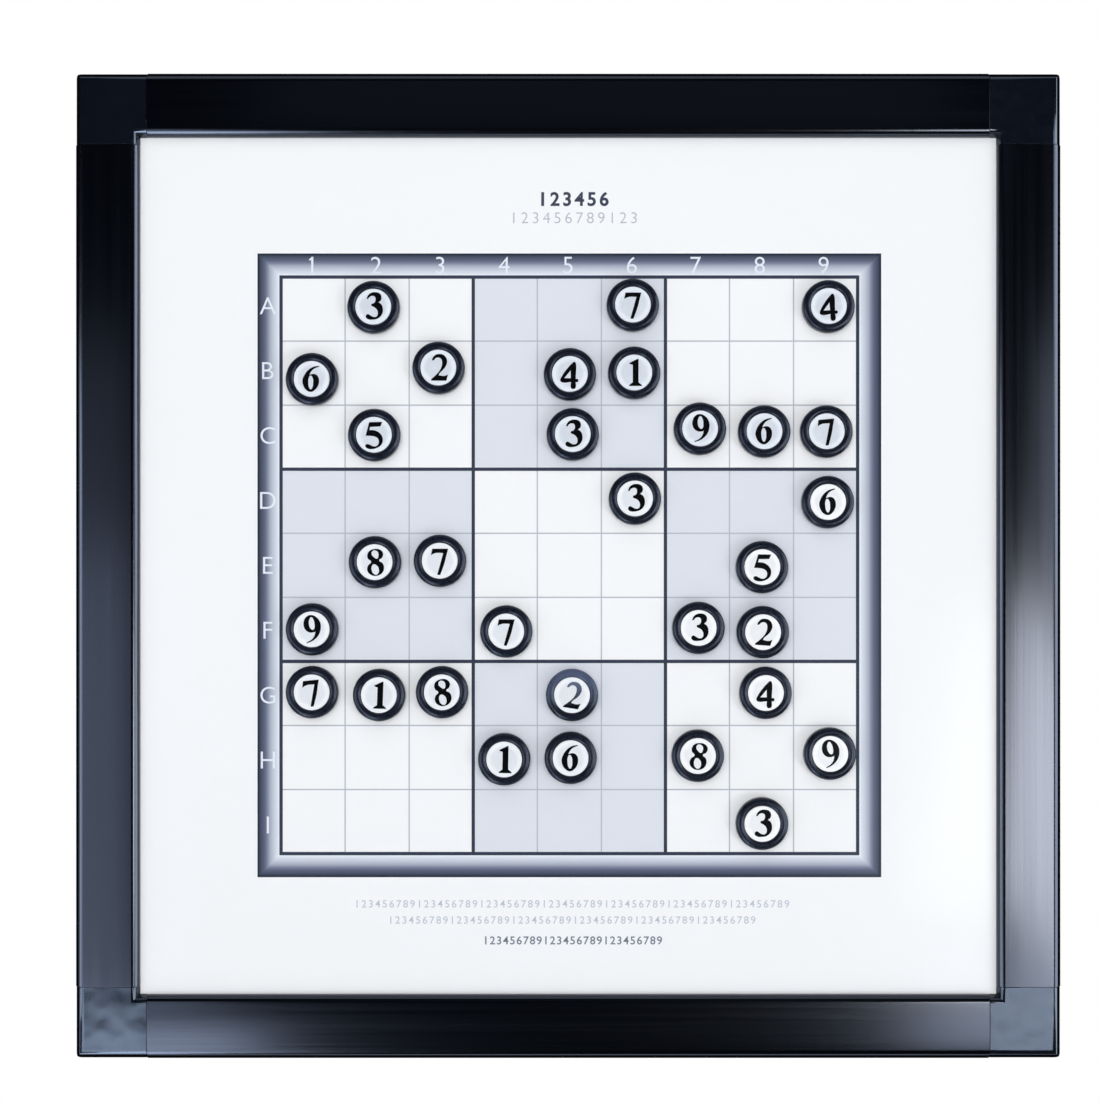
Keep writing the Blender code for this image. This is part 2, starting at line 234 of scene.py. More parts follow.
def black_anodised_aluminium(name, across):
    """Black dyed oxide on drawn aluminium: a dark satin metal with fine lines along the rail."""
    material, tree, shader = new_finish(name, {"Base Color": linear("#3a3d44"), "Metallic": 1.0})
    line_pitch = 1.1 * MM
    band_pitch = 7 * MM
    stretch = 250
    place = add_node(tree, "ShaderNodeTexCoord")
    stretched = add_node(tree, "ShaderNodeMapping", {
        "Vector": place.outputs["Object"],
        "Scale": [1 if part else 1 / stretch for part in across],
    })
    lines = add_node(tree, "ShaderNodeTexNoise", {
        "Vector": stretched.outputs["Vector"], "Scale": 1 / line_pitch, "Detail": 2.0,
    })
    bands = add_node(tree, "ShaderNodeTexNoise", {
        "Vector": stretched.outputs["Vector"], "Scale": 1 / band_pitch, "Detail": 3.0,
    })
    both = add_node(tree, "ShaderNodeMath", {0: lines.outputs["Fac"], 1: bands.outputs["Fac"]},
                    operation="ADD")
    roughness = add_node(tree, "ShaderNodeMapRange", {
        "Value": both.outputs["Value"], "From Min": 0.7, "From Max": 1.3,
        "To Min": 0.14, "To Max": 0.2,
    })
    tree.links.new(roughness.outputs["Result"], shader.inputs["Roughness"])
    add_relief(tree, shader, both.outputs["Value"], 0.6, 0.02 * MM)
    return material


def painted_shade_edge():
    """Painted shade along the frame's outermost edge: near-black, streaked at random, with no gloss."""
    material, tree, shader = new_finish("painted_shade_edge", {"Specular IOR Level": 0.0})
    place = add_node(tree, "ShaderNodeTexCoord")
    streaks = add_node(tree, "ShaderNodeTexNoise", {
        "Vector": place.outputs["Object"], "Scale": 1 / (4 * MM), "Detail": 2.0,
    })
    blend_colours(tree, shader, streaks.outputs["Fac"], "#040508", "#0c0e13")
    return material


def screw_hole():
    """The countersunk hole at a rail's inner back flange, a little wider than its screw."""
    bm = bmesh.new()
    turned(bm, [(0, -PAST_BACK), (SINK_RADIUS, -PAST_BACK), (SINK_RADIUS, SINK_FLAT),
                (HOLE_RADIUS, SINK_END), (HOLE_RADIUS, HOLE_END), (0, HOLE_END)], TURNED_SIDES)
    return bm


def rail_mesh(name):
    """A rail with its outer edge on the X axis, its holes cut."""
    crown_slope = CROWN_REACH / CROWN_RADIUS
    ridge = FRAME_DEPTH + CROWN_REACH * crown_slope / 2
    shoulder = ridge - RAIL_WIDTH / 2 * crown_slope
    inner_round = EDGE_ROUND - RAIL_WALL
    bm = bmesh.new()
    section_face(bm, [
        (HOOK_FLANGE, 0, 0),
        (0, 0, BACK_ROUND),
        (0, shoulder, EDGE_ROUND),
        (RAIL_WIDTH / 2, ridge, CROWN_REACH / 2),
        (RAIL_WIDTH, shoulder, LIP_ROUND),
        (RAIL_WIDTH, LIP_BACK, 0),
        (RAIL_WIDTH - LIP_FOOT, LIP_BACK, 0),
        (RAIL_WIDTH - LIP_SOLID, FRAME_DEPTH - RAIL_WALL, 0),
        (SLOT_BOTTOM, FRAME_DEPTH - RAIL_WALL, 0),
        (SLOT_BOTTOM, RAIL_WALL, 0),
        (SLOT_BOTTOM + PANEL_FLANGE, RAIL_WALL, 0),
        (SLOT_BOTTOM + PANEL_FLANGE, 0, 0),
        (HOOK_FLANGE + HOOK_SLOT, 0, 0),
        (HOOK_FLANGE + HOOK_SLOT, RAIL_WALL, 0),
        (CHAMBER_END, RAIL_WALL, 0),
        (CHAMBER_END, FRAME_DEPTH - RAIL_WALL, 0),
        (RAIL_WALL, FRAME_DEPTH - RAIL_WALL, inner_round),
        (RAIL_WALL, RAIL_WALL, 0),
        (HOOK_FLANGE, RAIL_WALL, 0),
    ])
    draw_out(bm, bm.faces[:], (RAIL_LENGTH, 0, 0))
    bmesh.ops.translate(bm, vec=(-RAIL_LENGTH / 2, 0, 0), verts=bm.verts)
    bmesh.ops.recalc_face_normals(bm, faces=bm.faces)
    ends = [edge for edge in bm.edges
            if abs(edge.verts[0].co.x - edge.verts[1].co.x) < MERGE_BELOW]
    bmesh.ops.bevel(bm, geom=ends, offset=SAWN_EDGE, offset_type="OFFSET", segments=2,
                    profile=0.5, affect="EDGES", material=-1, clamp_overlap=True)
    holes = []
    for side in (-1, 1):
        x = side * (RAIL_LENGTH / 2 - SCREW_FROM_END)
        hole = closed_mesh(screw_hole(), "screw_hole", Matrix.Translation((x, 0, -SCREW_INWARD)))
        holes.append((hole, "DIFFERENCE"))
    return carved(closed_mesh(bm, name), holes)


def on_side(turn, x=0.0, z=HALF_BOARD):
    """The place of a piece at the board's top edge, turned about the board's centre."""
    return (Matrix.Translation(BOARD_CENTRE) @ Matrix.Rotation(math.radians(turn), 4, "Y")
            @ Matrix.Translation((x, 0, z)))


RUNS = {0: ("across", (False, True, True)), 90: ("upright", (True, True, False))}
rail_finish = {turn: black_anodised_aluminium(f"anodised_aluminium_{run}", across)
               for turn, (run, across) in RUNS.items()}
# The frame's outermost edge carries painted shade: dead black, without gloss.
edge_shade_finish = painted_shade_edge()
plain_rail = rail_mesh("rail")
for side, turn in SIDES.items():
    mesh = plain_rail.copy()
    mesh.transform(on_side(turn))
    add_piece(f"rail_{side}_extrusion", mesh, rail_finish[turn % 180], "board",
              (f"{side}_rail",), edge_material=edge_shade_finish)


# The corner caps are moulded in black ABS: an L-shaped cap, cored out behind to an even wall with
# ribs, and two hollow tenons that plug into the rails' chambers. A fine gap is left at each seam
# with a rail, and the outer edge carries the rails' painted shade, dead black without gloss.
CAP_SIZE = 51 * MM
CAP_SETBACK = 0.4 * MM
CAP_FRONT = FRAME_DEPTH - CAP_SETBACK
CAP_CORNER = 5 * MM
CAP_LIP_RUN = 3 * MM
CAP_LIP_ROUND = 2.4 * MM
CAP_SEAM_EDGE = 0.5 * MM
CAP_WALL = 2.2 * MM
CAP_RIB = 2 * MM
TENON_LENGTH = 34 * MM
TENON_WALL = 2.5 * MM
FIT = 0.3 * MM
CUTTER_SPARE = CAP_SIZE / 2
HAIR = 0.02 * MM


def soften(bm, test, reach, segments):
    """Bevels the edges whose two ends both pass the test."""
    edges = [edge for edge in bm.edges if all(test(vert.co) for vert in edge.verts)]
    bmesh.ops.bevel(bm, geom=edges, offset=reach, offset_type="OFFSET", segments=segments,
                    profile=0.5, affect="EDGES", material=-1, clamp_overlap=True)


def add_box(bm, low, high):
    """A box between two corners."""
    size = Matrix.Diagonal((*(Vector(high) - Vector(low)), 1))
    middle = Matrix.Translation((Vector(low) + Vector(high)) / 2)
    bmesh.ops.create_cube(bm, size=1, matrix=middle @ size)


def cap_body():
    """The solid cap with its outer corner at the origin and its legs along -X and -Z."""
    outline = [(CAP_SETBACK, CAP_SETBACK), (CAP_SIZE, CAP_SETBACK), (CAP_SIZE, RAIL_WIDTH),
               (RAIL_WIDTH, RAIL_WIDTH), (RAIL_WIDTH, CAP_SIZE), (CAP_SETBACK, CAP_SIZE)]
    bm = bmesh.new()
    back = bm.faces.new([bm.verts.new((-across, 0, -down)) for across, down in outline])
    draw_out(bm, [back], (0, -LIP_EDGE, 0))
    bm.faces.ensure_lookup_table()
    shelf = [face for face in bm.faces if all(vert.co.y < -LIP_EDGE / 2 for vert in face.verts)]
    raised = draw_out(bm, shelf, (0, LIP_EDGE - CAP_FRONT, 0))
    bmesh.ops.delete(bm, geom=shelf, context="FACES_ONLY")
    for vert in raised:
        if max(vert.co.x, vert.co.z) < -2 * CAP_SETBACK:
            if vert.co.x > -CAP_SIZE + MERGE_BELOW:
                vert.co.x += CAP_LIP_RUN
            if vert.co.z > -CAP_SIZE + MERGE_BELOW:
                vert.co.z += CAP_LIP_RUN
    bmesh.ops.recalc_face_normals(bm, faces=bm.faces)
    front = MERGE_BELOW - CAP_FRONT
    outer = -MERGE_BELOW - CAP_SETBACK
    inner = MERGE_BELOW - RAIL_WIDTH + CAP_LIP_RUN
    seam = MERGE_BELOW - CAP_SIZE
    soften(bm, lambda co: min(co.x, co.z) > outer, CAP_CORNER, ROUND_STEPS)
    soften(bm, lambda co: co.y < front and max(co.x, co.z) < inner, CAP_LIP_ROUND, 5)
    soften(bm, lambda co: co.y < front and co.x < seam, CAP_SEAM_EDGE, 3)
    soften(bm, lambda co: co.y < front and co.z < seam, CAP_SEAM_EDGE, 3)
    return bm


def chamber_section(inset):
    """The section of a rail's chamber, drawn in by an inset."""
    low = RAIL_WALL + inset
    high = FRAME_DEPTH - RAIL_WALL - inset
    far = CHAMBER_END - inset
    return [(low, low, 0), (low, high, EDGE_ROUND - RAIL_WALL), (far, high, 0), (far, low, 0)]


def outer_round_section():
    """The section of what is cut away to round the cap's outer edge. It ends a hair outside it."""
    middle_in = CAP_SETBACK + EDGE_ROUND - HAIR
    middle_depth = CAP_FRONT - EDGE_ROUND + HAIR
    before_front = CAP_FRONT + CAP_SETBACK
    arc = []
    for step in range(ROUND_STEPS + 1):
        angle = math.radians(90) * step / ROUND_STEPS
        arc.append((middle_in - EDGE_ROUND * math.cos(angle),
                    middle_depth + EDGE_ROUND * math.sin(angle), 0))
    return [*arc, (middle_in, before_front, 0), (-CAP_SETBACK, before_front, 0),
            (-CAP_SETBACK, middle_depth, 0)]


def leg_bar(name, section, start, end, upright):
    """A bar along one leg of the cap, from one place along it to another."""
    bm = bmesh.new()
    section_face(bm, section)
    draw_out(bm, bm.faces[:], (end - start, 0, 0))
    bmesh.ops.translate(bm, vec=(start, 0, 0), verts=bm.verts)
    if upright:
        across_to_up = Matrix(((0, 0, 1), (0, 1, 0), (1, 0, 0))).to_4x4()
        bmesh.ops.transform(bm, matrix=across_to_up, verts=bm.verts)
    return closed_mesh(bm, name)


def cap_pockets():
    """The cored-out hollows in the cap's back, with ribs left between them."""
    first = CAP_SETBACK + CAP_WALL
    last = SLOT_BOTTOM - CAP_WALL
    middle = (first + last) / 2
    spans = [(first, middle - CAP_RIB / 2), (middle + CAP_RIB / 2, last),
             (last + CAP_RIB, CAP_SIZE - CAP_WALL)]
    bm = bmesh.new()
    for across in spans:
        for down in spans:
            if across is down is spans[-1]:
                continue
            low = (-across[1], CAP_WALL - CAP_FRONT, -down[1])
            add_box(bm, low, (-across[0], CAP_WALL, -down[0]))
    return closed_mesh(bm, "cap_pockets")


def cap_mesh():
    """The whole cap: body, tenons, pockets, the room for the panel's corner and screw holes."""
    tenon_end = -(CAP_SIZE + TENON_LENGTH)
    bars = [
        ("outer_round", outer_round_section(), -CAP_SIZE - CUTTER_SPARE, CAP_SIZE, "DIFFERENCE"),
        ("tenon", chamber_section(FIT), tenon_end, CAP_WALL / 2 - CAP_SIZE, "UNION"),
        ("tenon_hollow", chamber_section(FIT + TENON_WALL), tenon_end - CAP_WALL,
         -CAP_SIZE - CAP_WALL, "DIFFERENCE"),
    ]
    tools = []
    for upright in (False, True):
        for name, section, start, end, operation in bars:
            tools.append((leg_bar(name, section, start, end, upright), operation))
    panel = bmesh.new()
    panel_low = (-2 * CAP_SIZE, -LIP_BACK, -2 * CAP_SIZE)
    add_box(panel, panel_low, (-SLOT_BOTTOM, -RAIL_WALL, -SLOT_BOTTOM))
    tools.append((closed_mesh(panel, "panel_room"), "DIFFERENCE"))
    tools.append((cap_pockets(), "DIFFERENCE"))
    along = RAIL_LENGTH / 2 - HALF_BOARD - SCREW_FROM_END
    for x, z in ((along, -SCREW_INWARD), (-SCREW_INWARD, along)):
        hole = closed_mesh(screw_hole(), "screw_hole", Matrix.Translation((x, 0, z)))
        tools.append((hole, "DIFFERENCE"))
    return carved(closed_mesh(cap_body(), "corner_cap"), tools)


def vary_gloss(tree, shader, patch, detail, smooth, rough):
    """Varies the roughness in cloudy patches of about a size, and gives the clouds."""
    place = add_node(tree, "ShaderNodeTexCoord")
    clouds = add_node(tree, "ShaderNodeTexNoise", {
        "Vector": place.outputs["Object"], "Scale": 1 / patch, "Detail": detail,
    })
    roughness = add_node(tree, "ShaderNodeMapRange", {
        "Value": clouds.outputs["Fac"], "From Min": 0.3, "From Max": 0.7,
        "To Min": smooth, "To Max": rough,
    })
    tree.links.new(roughness.outputs["Result"], shader.inputs["Roughness"])
    return clouds.outputs["Fac"]


def black_moulded_abs():
    """ABS from a polished mould: black, satin, a little sunk and wavy, with blotches of handling."""
    material, tree, shader = new_finish("moulded_abs_black", {
        "Base Color": linear("#0a0e16"), "IOR": 1.54, "Specular IOR Level": 0.6,
        "Specular Tint": linear("#d8e8ff"),
    })
    vary_gloss(tree, shader, 9 * MM, 4.0, 0.1, 0.18)
    place = add_node(tree, "ShaderNodeTexCoord")
    waves = add_node(tree, "ShaderNodeTexNoise", {
        "Vector": place.outputs["Object"], "Scale": 1 / (22 * MM), "Detail": 1.0,
    })
    grain = add_node(tree, "ShaderNodeTexNoise", {
        "Vector": place.outputs["Object"], "Scale": 1 / (0.5 * MM), "Detail": 2.0,
    })
    add_relief(tree, shader, waves.outputs["Fac"], 1.0, 0.5 * MM)
    add_relief(tree, shader, grain.outputs["Fac"], 0.2, 0.02 * MM)
    return material


CORNERS = {"top_right": 0, "bottom_right": 90, "bottom_left": 180, "top_left": 270}
cap_finish = black_moulded_abs()
plain_cap = cap_mesh()
for corner, turn in CORNERS.items():
    mesh = plain_cap.copy()
    mesh.transform(on_side(turn, HALF_BOARD))
    add_piece(f"cap_{corner}", mesh, cap_finish, "board", (f"corner_{corner}",),
              edge_material=edge_shade_finish)


# The screws are countersunk, of steel plated with bright zinc, with a cross recess. Each is driven
# from behind through a rail's back flange into a tenon.
SCREW_SUNK = 0.1 * MM
SCREW_HEAD = 2.8 * MM
SCREW_HEAD_HEIGHT = 1.2 * MM
SCREW_HEAD_ROUND = 0.12 * MM
SCREW_SHANK = 1.5 * MM
SCREW_LENGTH = 9.5 * MM
SCREW_TIP = 1.5 * MM
CROSS_WING = 1.5 * MM
CROSS_WIDTH = 0.55 * MM
CROSS_DEPTH = 0.8 * MM


def screw_mesh():
    """A screw with its head at the wall plane and its tip towards the viewer."""
    neck = SCREW_SUNK + SCREW_HEAD_HEIGHT
    bm = bmesh.new()
    turned(bm, [(0, SCREW_SUNK), (SCREW_HEAD, SCREW_SUNK, SCREW_HEAD_ROUND), (SCREW_SHANK, neck),
                (SCREW_SHANK, SCREW_LENGTH - SCREW_TIP), (0, SCREW_LENGTH)], TURNED_SIDES)
    tools = []
    for wing, arm in ((CROSS_WING, CROSS_WIDTH / 2), (CROSS_WIDTH / 2, CROSS_WING)):
        cross = bmesh.new()
        add_box(cross, (-wing, -SCREW_SUNK - CROSS_DEPTH, -arm), (wing, SCREW_SUNK, arm))
        tools.append((closed_mesh(cross, "cross_recess"), "DIFFERENCE"))
    return carved(closed_mesh(bm, "corner_screw"), tools)


def zinc_plated_steel():
    """Bright zinc with a faint blue passivation and cloudy patches."""
    material, tree, shader = new_finish("zinc_plated_steel", {
        "Base Color": linear("#c3c8cf"), "Metallic": 1.0,
    })
    vary_gloss(tree, shader, 1.5 * MM, 2.0, 0.25, 0.45)
    return material


zinc = zinc_plated_steel()
plain_screw = screw_mesh()
for side in SIDES:
    for end in ("left", "right") if side in ("top", "bottom") else ("top", "bottom"):
        node = f"screw_{side}_rail_{end}"
        low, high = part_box(node)
        mesh = plain_screw.copy()
        mesh.transform(Matrix.Translation(((low.x + high.x) / 2, 0, (low.z + high.z) / 2)))
        add_piece(f"cross_{node}", mesh, zinc, "board", (node,))


# The panel is a sandwich: a steel face sheet with a hard white lacquer that magnets hold on, a
# fibre core board and a thin galvanised back sheet, all held in the rails' slots.
def white_lacquered_steel():
    """Baked white lacquer: bright, a touch cool, smooth with a very faint ripple."""
    material, tree, shader = new_finish("white_lacquered_steel", {
        "Base Color": linear("#f3f5f8"), "IOR": 1.45, "Specular IOR Level": 0.1,
    })
    ripple = vary_gloss(tree, shader, 30 * MM, 2.0, 0.1, 0.14)
    add_relief(tree, shader, ripple, 0.2, 0.05 * MM)
    return material


def fibre_core_board():
    """Pressed wood fibre: brown, matt and flecked, seen only at the panel's edge."""
    material, tree, shader = new_finish("pressed_fibre_board", {"Roughness": 0.9})
    place = add_node(tree, "ShaderNodeTexCoord")
    flecks = add_node(tree, "ShaderNodeTexNoise", {
        "Vector": place.outputs["Object"], "Scale": 1 / (1.5 * MM), "Detail": 5.0,
    })
    blend_colours(tree, shader, flecks.outputs["Fac"], "#6f573b", "#a58a63")
    return material


def galvanised_steel():
    """Hot-dip zinc: a grey metal with spangles 6 to 12 mm wide, each with its own sheen."""
    material, tree, shader = new_finish("galvanised_steel_sheet", {"Metallic": 1.0})
    spangle = 9 * MM
    place = add_node(tree, "ShaderNodeTexCoord")
    cells = add_node(tree, "ShaderNodeTexVoronoi", {
        "Vector": place.outputs["Object"], "Scale": 1 / spangle,
    })
    shade = add_node(tree, "ShaderNodeSeparateColor", {"Color": cells.outputs["Color"]})
    blend_colours(tree, shader, shade.outputs["Red"], "#9ba1a8", "#bcc1c6")
    roughness = add_node(tree, "ShaderNodeMapRange", {
        "Value": shade.outputs["Green"], "To Min": 0.32, "To Max": 0.5,
    })
    tree.links.new(roughness.outputs["Result"], shader.inputs["Roughness"])
    return material


def refinish(node, material):
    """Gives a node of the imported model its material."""
    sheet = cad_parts[node]
    sheet.data.materials.clear()
    sheet.data.materials.append(material)


refinish("face_sheet", white_lacquered_steel())
refinish("core_board", fibre_core_board())
refinish("back_sheet", galvanised_steel())


# The print is ink screened on the lacquer: a framed nine by nine grid with every other box tinted,
# white numbers and letters on the border's gradient, and lines of plain numbers above and below.
# Each ink is a thin plate of its own, and a later one lies on those before it.
SHEET_FRONT = -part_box("face_sheet")[0].y
INK = 0.03 * MM
INK_GAP = 0.2 * INK
CELL = 45.6 * MM
BOX = 3 * CELL
PRINT_RIGHT = 0.8 * MM
PRINT_UP = 0.4 * MM
PRINT_CENTRE = BOARD_CENTRE + Vector((PRINT_RIGHT, 0, PRINT_UP))
HALF_GRID = 4.5 * CELL
HALF_BORDER = 222 * MM
HEAVY_LINE = 2.4 * MM
FINE_LINE = 0.9 * MM
ROWS = "ABCDEFGHI"
NUMBERS = "123456789"
MARK_HEIGHT = 12.2 * MM
MARK_WEIGHT = -0.09 * MM
MARK_SHIFT = -1 * MM
NUMBER_PITCH = 45.5 * MM
LETTER_PITCH = 46.2 * MM
FLAG_LENGTH = 0.26 * MARK_HEIGHT
FLAG_WIDTH = 0.1 * MARK_HEIGHT
FLAG_SLANT = -38


def ink_layer(layer):
    """Where a layer of ink has its front and its back, with a hair of air behind it."""
    back = -SHEET_FRONT - INK * layer - INK_GAP
    return back - INK + INK_GAP, back


def add_plate(bm, x_range, z_range, layer):
    """A plate of ink on the sheet, placed from the print's centre, on its layer of ink."""
    front, back = ink_layer(layer)
    low = (PRINT_CENTRE.x + x_range[0], front, PRINT_CENTRE.z + z_range[0])
    high = (PRINT_CENTRE.x + x_range[1], back, PRINT_CENTRE.z + z_range[1])
    add_box(bm, low, high)


def rule_lines(bm, xs, zs, width, x_range, z_range, layer):
    """Ruled lines that don't overlap: whole ones across, and upright ones cut at each of them."""
    half = width / 2
    for z in zs:
        add_plate(bm, x_range, (z - half, z + half), layer)
    stops = sorted([*z_range, *[z - half for z in zs], *[z + half for z in zs]])
    for x in xs:
        for low, high in zip(stops[::2], stops[1::2]):
            if high - low > MERGE_BELOW:
                add_plate(bm, (x - half, x + half), (low, high), layer)


def add_print(name, bm, material):
    """A printed layer as one piece on the sheet."""
    bmesh.ops.recalc_face_normals(bm, faces=bm.faces)
    mesh = bpy.data.meshes.new(name)
    bm.to_mesh(mesh)
    bm.free()
    add_piece(name, mesh, material, "board", smooth=False)


def screen_ink(name, colour):
    """Screen-printed ink under a clear coat: flat colour with a slight mottle in its gloss."""
    material, tree, shader = new_finish(name, {"Base Color": linear(colour), "IOR": 1.45,
                                               "Specular IOR Level": 0.1})
    vary_gloss(tree, shader, 2 * MM, 2.0, 0.2, 0.3)
    return material


def border_ink():
    """The border's navy ink, printed dark at its outer edge and fading towards the grid."""
    material, tree, shader = new_finish("screen_ink_border", {"Roughness": 0.25, "IOR": 1.45,
                                                              "Specular IOR Level": 0.1})
    place = add_node(tree, "ShaderNodeTexCoord")
    centred = add_node(tree, "ShaderNodeMapping", {
        "Vector": place.outputs["Object"], "Location": -PRINT_CENTRE,
    })
    axes = add_node(tree, "ShaderNodeSeparateXYZ", {"Vector": centred.outputs["Vector"]})
    across = add_node(tree, "ShaderNodeMath", {0: axes.outputs["X"]}, operation="ABSOLUTE")
    up = add_node(tree, "ShaderNodeMath", {0: axes.outputs["Z"]}, operation="ABSOLUTE")
    reach = add_node(tree, "ShaderNodeMath", {0: across.outputs["Value"], 1: up.outputs["Value"]},
                     operation="MAXIMUM")
    inward = add_node(tree, "ShaderNodeMapRange", {
        "Value": reach.outputs["Value"], "From Min": HALF_BORDER, "From Max": HALF_GRID,
    })
    ramp = add_node(tree, "ShaderNodeValToRGB", {"Fac": inward.outputs["Result"]})
    first, *between, last = [
        (0.0, "#1c2434"), (0.08, "#333b4c"), (0.15, "#464e62"), (0.3, "#5c6279"), (0.42, "#7a829a"),
        (0.52, "#a0a8bb"), (0.66, "#bdc5d3"), (0.8, "#d2d9e5"), (0.9, "#e2e8f3"),
    ]
    stops = ramp.color_ramp.elements
    for position, colour in between:
        stops.new(position).color = linear(colour)
    for stop, (position, colour) in ((stops[0], first), (stops[-1], last)):
        stop.position = position
        stop.color = linear(colour)
    tree.links.new(ramp.outputs["Color"], shader.inputs["Base Color"])
    return material


def flat_words(bm, text, height, centre_x, centre_z, layer, weight=0.0, width=None):
    """Adds a line of plain characters centred on a place, its strokes made thinner or bolder."""
    curve = bpy.data.curves.new(text, "FONT")
    curve.body = text
    curve.align_x = "CENTER"
    curve.size = 1.0
    curve.resolution_u = 6
    probe = bpy.data.objects.new(text, curve)
    bpy.context.collection.objects.link(probe)
    bpy.context.view_layer.update()
    curve.size = height / probe.dimensions.y
    front, back = ink_layer(layer)
    curve.offset = weight
    curve.extrude = (back - front) / 2
    if width:
        spans = []
        for spacing in (1.0, 2.0):
            curve.space_character = spacing
            bpy.context.view_layer.update()
            spans.append(probe.dimensions.x)
        curve.space_character = 1.0 + (width - spans[0]) / (spans[1] - spans[0])
    bpy.context.view_layer.update()
    graph = bpy.context.evaluated_depsgraph_get()
    mesh = bpy.data.meshes.new_from_object(probe.evaluated_get(graph))
    bpy.data.objects.remove(probe, do_unlink=True)
    middle = [(min(part) + max(part)) / 2 for part in zip(*(vert.co for vert in mesh.vertices))]
    centred = Matrix.Translation((-middle[0], -middle[1], 0))
    place = (PRINT_CENTRE.x + centre_x, (front + back) / 2, PRINT_CENTRE.z + centre_z)
    standing = Matrix.Translation(place) @ Matrix.Rotation(math.radians(90), 4, "X")
    mesh.transform(standing @ centred)
    bm.from_mesh(mesh)


def add_flag(bm, centre_x, centre_z, layer):
    """Adds the slanted flag of the mark 1, which the plain characters leave out."""
    flag = bmesh.new()
    front, back = ink_layer(layer)
    add_box(flag, (-FLAG_LENGTH, front, -FLAG_WIDTH), (0, back, 0))
    slant = Matrix.Rotation(math.radians(FLAG_SLANT), 3, "Y")
    bmesh.ops.rotate(flag, cent=(0, 0, 0), matrix=slant, verts=flag.verts)
    top = PRINT_CENTRE + Vector((centre_x, 0, centre_z + MARK_HEIGHT / 2))
    bmesh.ops.translate(flag, vec=(top.x, 0, top.z), verts=flag.verts)
    joined = bpy.data.meshes.new("flag")
    flag.to_mesh(joined)
    flag.free()
    bm.from_mesh(joined)


border = bmesh.new()
edge_band = (HALF_GRID + HALF_BORDER) / 2
for sign in (-1, 1):
    add_plate(border, (-HALF_BORDER, HALF_BORDER), sorted((sign * HALF_GRID, sign * HALF_BORDER)), 0)
    add_plate(border, sorted((sign * HALF_GRID, sign * HALF_BORDER)), (-HALF_GRID, HALF_GRID), 0)
add_print("print_border", border, border_ink())

tint = bmesh.new()
for column, row in ((0, 1), (0, -1), (-1, 0), (1, 0)):
    x = column * BOX
    z = row * BOX
    add_plate(tint, (x - BOX / 2, x + BOX / 2), (z - BOX / 2, z + BOX / 2), 0)
add_print("print_tinted_boxes", tint, screen_ink("screen_ink_tint", "#dbe0ea"))

fine = bmesh.new()
for column in (-1, 0, 1):
    for row in (-1, 0, 1):
        xs = [column * BOX + side * CELL / 2 for side in (-1, 1)]
        zs = [row * BOX + side * CELL / 2 for side in (-1, 1)]
        x_range = (column * BOX - BOX / 2, column * BOX + BOX / 2)
        z_range = (row * BOX - BOX / 2, row * BOX + BOX / 2)
        rule_lines(fine, xs, zs, FINE_LINE, x_range, z_range, 1)
add_print("print_fine_lines", fine, screen_ink("screen_ink_pale_grey", "#b3b9c6"))

heavy = bmesh.new()
lines = [step * BOX for step in (-1.5, -0.5, 0.5, 1.5)]
ends = (-HALF_GRID - HEAVY_LINE / 2, HALF_GRID + HEAVY_LINE / 2)
rule_lines(heavy, lines, lines, HEAVY_LINE, ends, ends, 2)
add_print("print_heavy_lines", heavy, screen_ink("screen_ink_navy", "#363e50"))

marks = bmesh.new()
for index in range(len(NUMBERS)):
    middle = index - len(NUMBERS) // 2
    flat_words(marks, NUMBERS[index], MARK_HEIGHT, middle * NUMBER_PITCH + MARK_SHIFT, edge_band, 1,
               MARK_WEIGHT)
    flat_words(marks, ROWS[index], MARK_HEIGHT, -edge_band + MARK_SHIFT, -middle * LETTER_PITCH, 1,
               MARK_WEIGHT)
add_flag(marks, -4 * NUMBER_PITCH + MARK_SHIFT, edge_band, 1)
add_print("print_grid_marks", marks, screen_ink("screen_ink_white", "#e2e8f3"))

# The plain lines. Each has its numbers and, in mm, their height, the place of its middle across
# and up, the weight added to its strokes, and its width.
PLAIN_LINES = {
    ("print_title_numbers", "screen_ink_slate", "#3f4456"): [("123456", 9.4, 4, 260.8, 0.36, 48)],
    ("print_second_line", "screen_ink_light_grey", "#b4b9c6"): [
        ("123456789123", 8, 4, 247.4, -0.1, 88),
    ],
    ("print_small_lines", "screen_ink_mist", "#c0c6d4"): [
        (NUMBERS * 7, 5.2, 2.5, -241, 0.05, 308), (NUMBERS * 6, 5.2, 2.5, -252.5, 0.05, 260),
    ],
    ("print_footer_numbers", "screen_ink_mid_grey", "#747b8e"): [
        (NUMBERS * 3, 5.6, 3, -267, 0.12, 126),
    ],
}
for (name, ink, colour), plain_lines in PLAIN_LINES.items():
    bm = bmesh.new()
    for numbers, height, x, z, weight, width in plain_lines:
        flat_words(bm, numbers, height * MM, x * MM, z * MM, 0, weight * MM, width * MM)
    add_print(name, bm, screen_ink(ink, colour))


# The number pieces are black ABS cups with a rounded rim, a white polystyrene disc pressed in from
# the front and a ferrite magnet glued in behind. Each number is pad-printed on its disc. The pieces
# are set down by hand, so many lie turned a little, and one has a painted glare: its ring and numeral
# lighter towards the top.
PIECE_SIDES = 72
RING_RADIUS = 18.6 * MM
RING_HEIGHT = 9 * MM
RING_FOOT = 0.4 * MM
RING_FOOT_ROUND = 0.6 * MM
RIM_OUTER_ROUND = 3.2 * MM
RIM_INNER_ROUND = 2.2 * MM
DISC_RADIUS = 12.7 * MM
RIM_START = 10.8 * MM
DISC_MIDDLE = 8.2 * MM
DISC_FACE = 7.8 * MM
DISC_BACK = 6.2 * MM
DISC_EDGE = 0.3 * MM
MAGNET_RADIUS = 9.2 * MM
MAGNET_BACK = 3.4 * MM
MAGNET_EDGE = 0.4 * MM
LOOSE = 0.1 * MM
